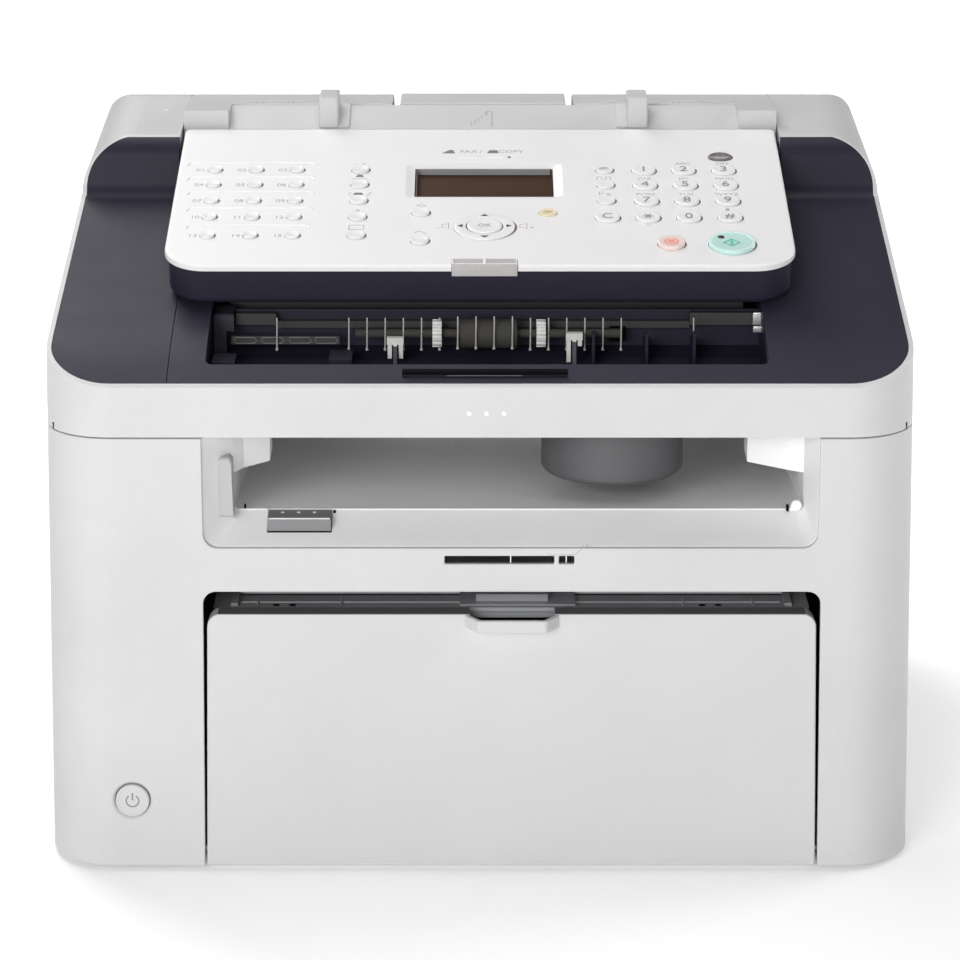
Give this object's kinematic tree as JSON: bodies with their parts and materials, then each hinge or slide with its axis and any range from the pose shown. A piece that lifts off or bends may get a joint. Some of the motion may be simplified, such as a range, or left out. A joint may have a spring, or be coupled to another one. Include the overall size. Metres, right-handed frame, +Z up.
{
  "type": "fax machine",
  "caption": "Desktop laser fax machine: sloping keyed panel over a document exit, open output bay, drop-down paper door and a hinged reader unit.",
  "frame": {"origin": "centre of the bounding box at the table surface under the feet", "axes": "+Z up, -Y out of the front door, +X to the right of somebody who faces the front"},
  "size_m": [0.376, 0.3125, 0.3017],
  "materials": {
    "shell": "fine satin texture",
    "deck": "satin",
    "panel_white": "satin gloss",
    "key_white": "satin",
    "start_green": "satin",
    "stop_red": "satin",
    "menu_yellow": "satin",
    "key_grey": "satin",
    "display": "glossy",
    "lens": "translucent",
    "liner": "satin",
    "dark_plastic": "matte",
    "tab_grey": "satin",
    "bay_grey": "matte",
    "tray_grey": "matte",
    "steel": "zinc plated",
    "rubber": "matte",
    "white_plastic": "satin",
    "board": "solder mask"
  },
  "bodies": {
    "housing": {"base_frame": "steel", "main_cover": "shell", "rear_cover": "shell", "output_tray": "liner", "paper_tray": "tray_grey", "laser_scanner": "dark_plastic", "toner_cartridge": "dark_plastic", "fuser_unit": "dark_plastic", "drive_unit": "dark_plastic", "electronics": "board", "rear_connectors": "dark_plastic", "feet": "rubber"},
    "front door": {"front_cover": "shell"},
    "tray cover": {"tray_cover": "tray_grey"},
    "tray extension": {"tray_extension": "tab_grey"},
    "power button": {"power_button": "shell"},
    "pickup roller": {"pickup_roller": "rubber"},
    "transfer roller": {"transfer_roller": "rubber"},
    "exit roller": {"exit_roller": "rubber"},
    "reader": {"upper_frame": "shell", "top_cover": "deck", "left_top_cover": "deck", "reader_floor": "bay_grey", "scan_bed": "deck", "image_sensor": "dark_plastic", "feeder_tray": "shell"},
    "feed roller": {"feed_roller": "rubber", "spur_wheels": "white_plastic"},
    "left sensor lever": {"left_sensor_lever": "white_plastic"},
    "right sensor lever": {"right_sensor_lever": "white_plastic"},
    "left document guide": {"left_document_guide": "shell"},
    "right document guide": {"right_document_guide": "shell"},
    "feeder flap": {"feeder_flap": "shell"},
    "panel": {"panel_cover": "panel_white", "panel_base": "deck", "display_module": "display", "indicator_lens": "lens"},
    "clear key": {"clear_key": "key_white"},
    "display keys": {"display_keys": "key_white"},
    "energy saver key": {"energy_saver_key": "key_grey"},
    "function keys": {"function_keys": "key_white"},
    "menu key": {"menu_key": "menu_yellow"},
    "mode keys": {"mode_keys": "key_white"},
    "navigation ring": {"navigation_ring": "key_white"},
    "number key 0": {"number_key_0": "key_white"},
    "number key 1": {"number_key_1": "key_white"},
    "number key 2": {"number_key_2": "key_white"},
    "number key 3": {"number_key_3": "key_white"},
    "number key 4": {"number_key_4": "key_white"},
    "number key 5": {"number_key_5": "key_white"},
    "number key 6": {"number_key_6": "key_white"},
    "number key 7": {"number_key_7": "key_white"},
    "number key 8": {"number_key_8": "key_white"},
    "number key 9": {"number_key_9": "key_white"},
    "number key hash": {"number_key_hash": "key_white"},
    "number key star": {"number_key_star": "key_white"},
    "ok key": {"ok_key": "key_white"},
    "one touch keys": {"one_touch_keys": "key_white"},
    "start key": {"start_key": "start_green"},
    "stop key": {"stop_key": "stop_red"}
  },
  "joints": [
    {"name": "front door hinge", "type": "hinge", "parent": "housing", "child": "front door", "pos_m": [0.0138, -0.142, 0.0085], "axis": [1, 0, 0], "range_deg": [0, 85]},
    {"name": "tray cover hinge", "type": "hinge", "parent": "housing", "child": "tray cover", "pos_m": [0.0138, 0, 0.1131], "axis": [-1, 0, 0], "range_deg": [0, 7]},
    {"name": "tray extension slide", "type": "slide", "parent": "housing", "child": "tray extension", "axis": [0, -0.9963, 0.0857], "range_m": [0, 0.085]},
    {"name": "power button press", "type": "slide", "parent": "housing", "child": "power button", "axis": [0, 1, 0], "range_m": [0, 0.0008], "stiffness_N_per_m": 1200},
    {"name": "pickup roller spin", "type": "hinge", "parent": "housing", "child": "pickup roller", "pos_m": [0.0135, 0.03, 0.074], "axis": [-1, 0, 0], "continuous": true},
    {"name": "transfer roller spin", "type": "hinge", "parent": "housing", "child": "transfer roller", "pos_m": [0.0135, 0.112, 0.084], "axis": [-1, 0, 0], "continuous": true},
    {"name": "exit roller spin", "type": "hinge", "parent": "housing", "child": "exit roller", "pos_m": [0.017, 0.045, 0.171], "axis": [1, 0, 0], "continuous": true},
    {"name": "reader hinge", "type": "hinge", "parent": "housing", "child": "reader", "pos_m": [0, 0.15, 0.2019], "axis": [-1, 0, 0], "range_deg": [0, 48]},
    {"name": "panel hinge", "type": "hinge", "parent": "reader", "child": "panel", "pos_m": [0, 0.0452, 0.2813], "axis": [-1, 0, 0], "range_deg": [0, 35]},
    {"name": "feed roller spin", "type": "hinge", "parent": "reader", "child": "feed roller", "pos_m": [0.0035, -0.087, 0.2255], "axis": [-1, 0, 0], "continuous": true},
    {"name": "left sensor lever pivot", "type": "hinge", "parent": "reader", "child": "left sensor lever", "pos_m": [-0.0366, -0.102, 0.2104], "axis": [1, 0, 0], "range_deg": [0, 30], "stiffness_Nm_per_rad": 0.002},
    {"name": "right sensor lever pivot", "type": "hinge", "parent": "reader", "child": "right sensor lever", "pos_m": [0.0407, -0.102, 0.2104], "axis": [1, 0, 0], "range_deg": [0, 30], "stiffness_Nm_per_rad": 0.002},
    {"name": "left document guide slide", "type": "slide", "parent": "reader", "child": "left document guide", "axis": [-1, 0, 0], "range_m": [0, 0.036]},
    {"name": "right document guide slide", "type": "slide", "parent": "reader", "child": "right document guide", "axis": [1, 0, 0], "range_m": [0, 0.036]},
    {"name": "feeder flap hinge", "type": "hinge", "parent": "reader", "child": "feeder flap", "pos_m": [0, 0.1268, 0.2855], "axis": [-1, 0, 0], "range_deg": [0, 120]},
    {"name": "clear key press", "type": "slide", "parent": "panel", "child": "clear key", "axis": [0, 0.2169, -0.9762], "range_m": [0, 0.0008], "stiffness_N_per_m": 900},
    {"name": "display keys press", "type": "slide", "parent": "panel", "child": "display keys", "axis": [0, 0.2169, -0.9762], "range_m": [0, 0.0008], "stiffness_N_per_m": 900},
    {"name": "energy saver key press", "type": "slide", "parent": "panel", "child": "energy saver key", "axis": [0, 0.2169, -0.9762], "range_m": [0, 0.0008], "stiffness_N_per_m": 900},
    {"name": "function keys press", "type": "slide", "parent": "panel", "child": "function keys", "axis": [0, 0.2169, -0.9762], "range_m": [0, 0.0008], "stiffness_N_per_m": 900},
    {"name": "menu key press", "type": "slide", "parent": "panel", "child": "menu key", "axis": [0, 0.2169, -0.9762], "range_m": [0, 0.0008], "stiffness_N_per_m": 900},
    {"name": "mode keys press", "type": "slide", "parent": "panel", "child": "mode keys", "axis": [0, 0.2169, -0.9762], "range_m": [0, 0.0008], "stiffness_N_per_m": 900},
    {"name": "navigation ring press", "type": "slide", "parent": "panel", "child": "navigation ring", "axis": [0, 0.2169, -0.9762], "range_m": [0, 0.0008], "stiffness_N_per_m": 900},
    {"name": "number key 0 press", "type": "slide", "parent": "panel", "child": "number key 0", "axis": [0, 0.2169, -0.9762], "range_m": [0, 0.0008], "stiffness_N_per_m": 900},
    {"name": "number key 1 press", "type": "slide", "parent": "panel", "child": "number key 1", "axis": [0, 0.2169, -0.9762], "range_m": [0, 0.0008], "stiffness_N_per_m": 900},
    {"name": "number key 2 press", "type": "slide", "parent": "panel", "child": "number key 2", "axis": [0, 0.2169, -0.9762], "range_m": [0, 0.0008], "stiffness_N_per_m": 900},
    {"name": "number key 3 press", "type": "slide", "parent": "panel", "child": "number key 3", "axis": [0, 0.2169, -0.9762], "range_m": [0, 0.0008], "stiffness_N_per_m": 900},
    {"name": "number key 4 press", "type": "slide", "parent": "panel", "child": "number key 4", "axis": [0, 0.2169, -0.9762], "range_m": [0, 0.0008], "stiffness_N_per_m": 900},
    {"name": "number key 5 press", "type": "slide", "parent": "panel", "child": "number key 5", "axis": [0, 0.2169, -0.9762], "range_m": [0, 0.0008], "stiffness_N_per_m": 900},
    {"name": "number key 6 press", "type": "slide", "parent": "panel", "child": "number key 6", "axis": [0, 0.2169, -0.9762], "range_m": [0, 0.0008], "stiffness_N_per_m": 900},
    {"name": "number key 7 press", "type": "slide", "parent": "panel", "child": "number key 7", "axis": [0, 0.2169, -0.9762], "range_m": [0, 0.0008], "stiffness_N_per_m": 900},
    {"name": "number key 8 press", "type": "slide", "parent": "panel", "child": "number key 8", "axis": [0, 0.2169, -0.9762], "range_m": [0, 0.0008], "stiffness_N_per_m": 900},
    {"name": "number key 9 press", "type": "slide", "parent": "panel", "child": "number key 9", "axis": [0, 0.2169, -0.9762], "range_m": [0, 0.0008], "stiffness_N_per_m": 900},
    {"name": "number key hash press", "type": "slide", "parent": "panel", "child": "number key hash", "axis": [0, 0.2169, -0.9762], "range_m": [0, 0.0008], "stiffness_N_per_m": 900},
    {"name": "number key star press", "type": "slide", "parent": "panel", "child": "number key star", "axis": [0, 0.2169, -0.9762], "range_m": [0, 0.0008], "stiffness_N_per_m": 900},
    {"name": "ok key press", "type": "slide", "parent": "panel", "child": "ok key", "axis": [0, 0.2169, -0.9762], "range_m": [0, 0.0008], "stiffness_N_per_m": 900},
    {"name": "one touch keys press", "type": "slide", "parent": "panel", "child": "one touch keys", "axis": [0, 0.2169, -0.9762], "range_m": [0, 0.0008], "stiffness_N_per_m": 900},
    {"name": "start key press", "type": "slide", "parent": "panel", "child": "start key", "axis": [0, 0.2169, -0.9762], "range_m": [0, 0.0008], "stiffness_N_per_m": 900},
    {"name": "stop key press", "type": "slide", "parent": "panel", "child": "stop key", "axis": [0, 0.2169, -0.9762], "range_m": [0, 0.0008], "stiffness_N_per_m": 900}
  ],
  "couplings": [
    {"joint": "right document guide slide", "follows": "left document guide slide", "ratio": 1},
    {"joint": "transfer roller spin", "follows": "pickup roller spin", "ratio": 2}
  ]
}
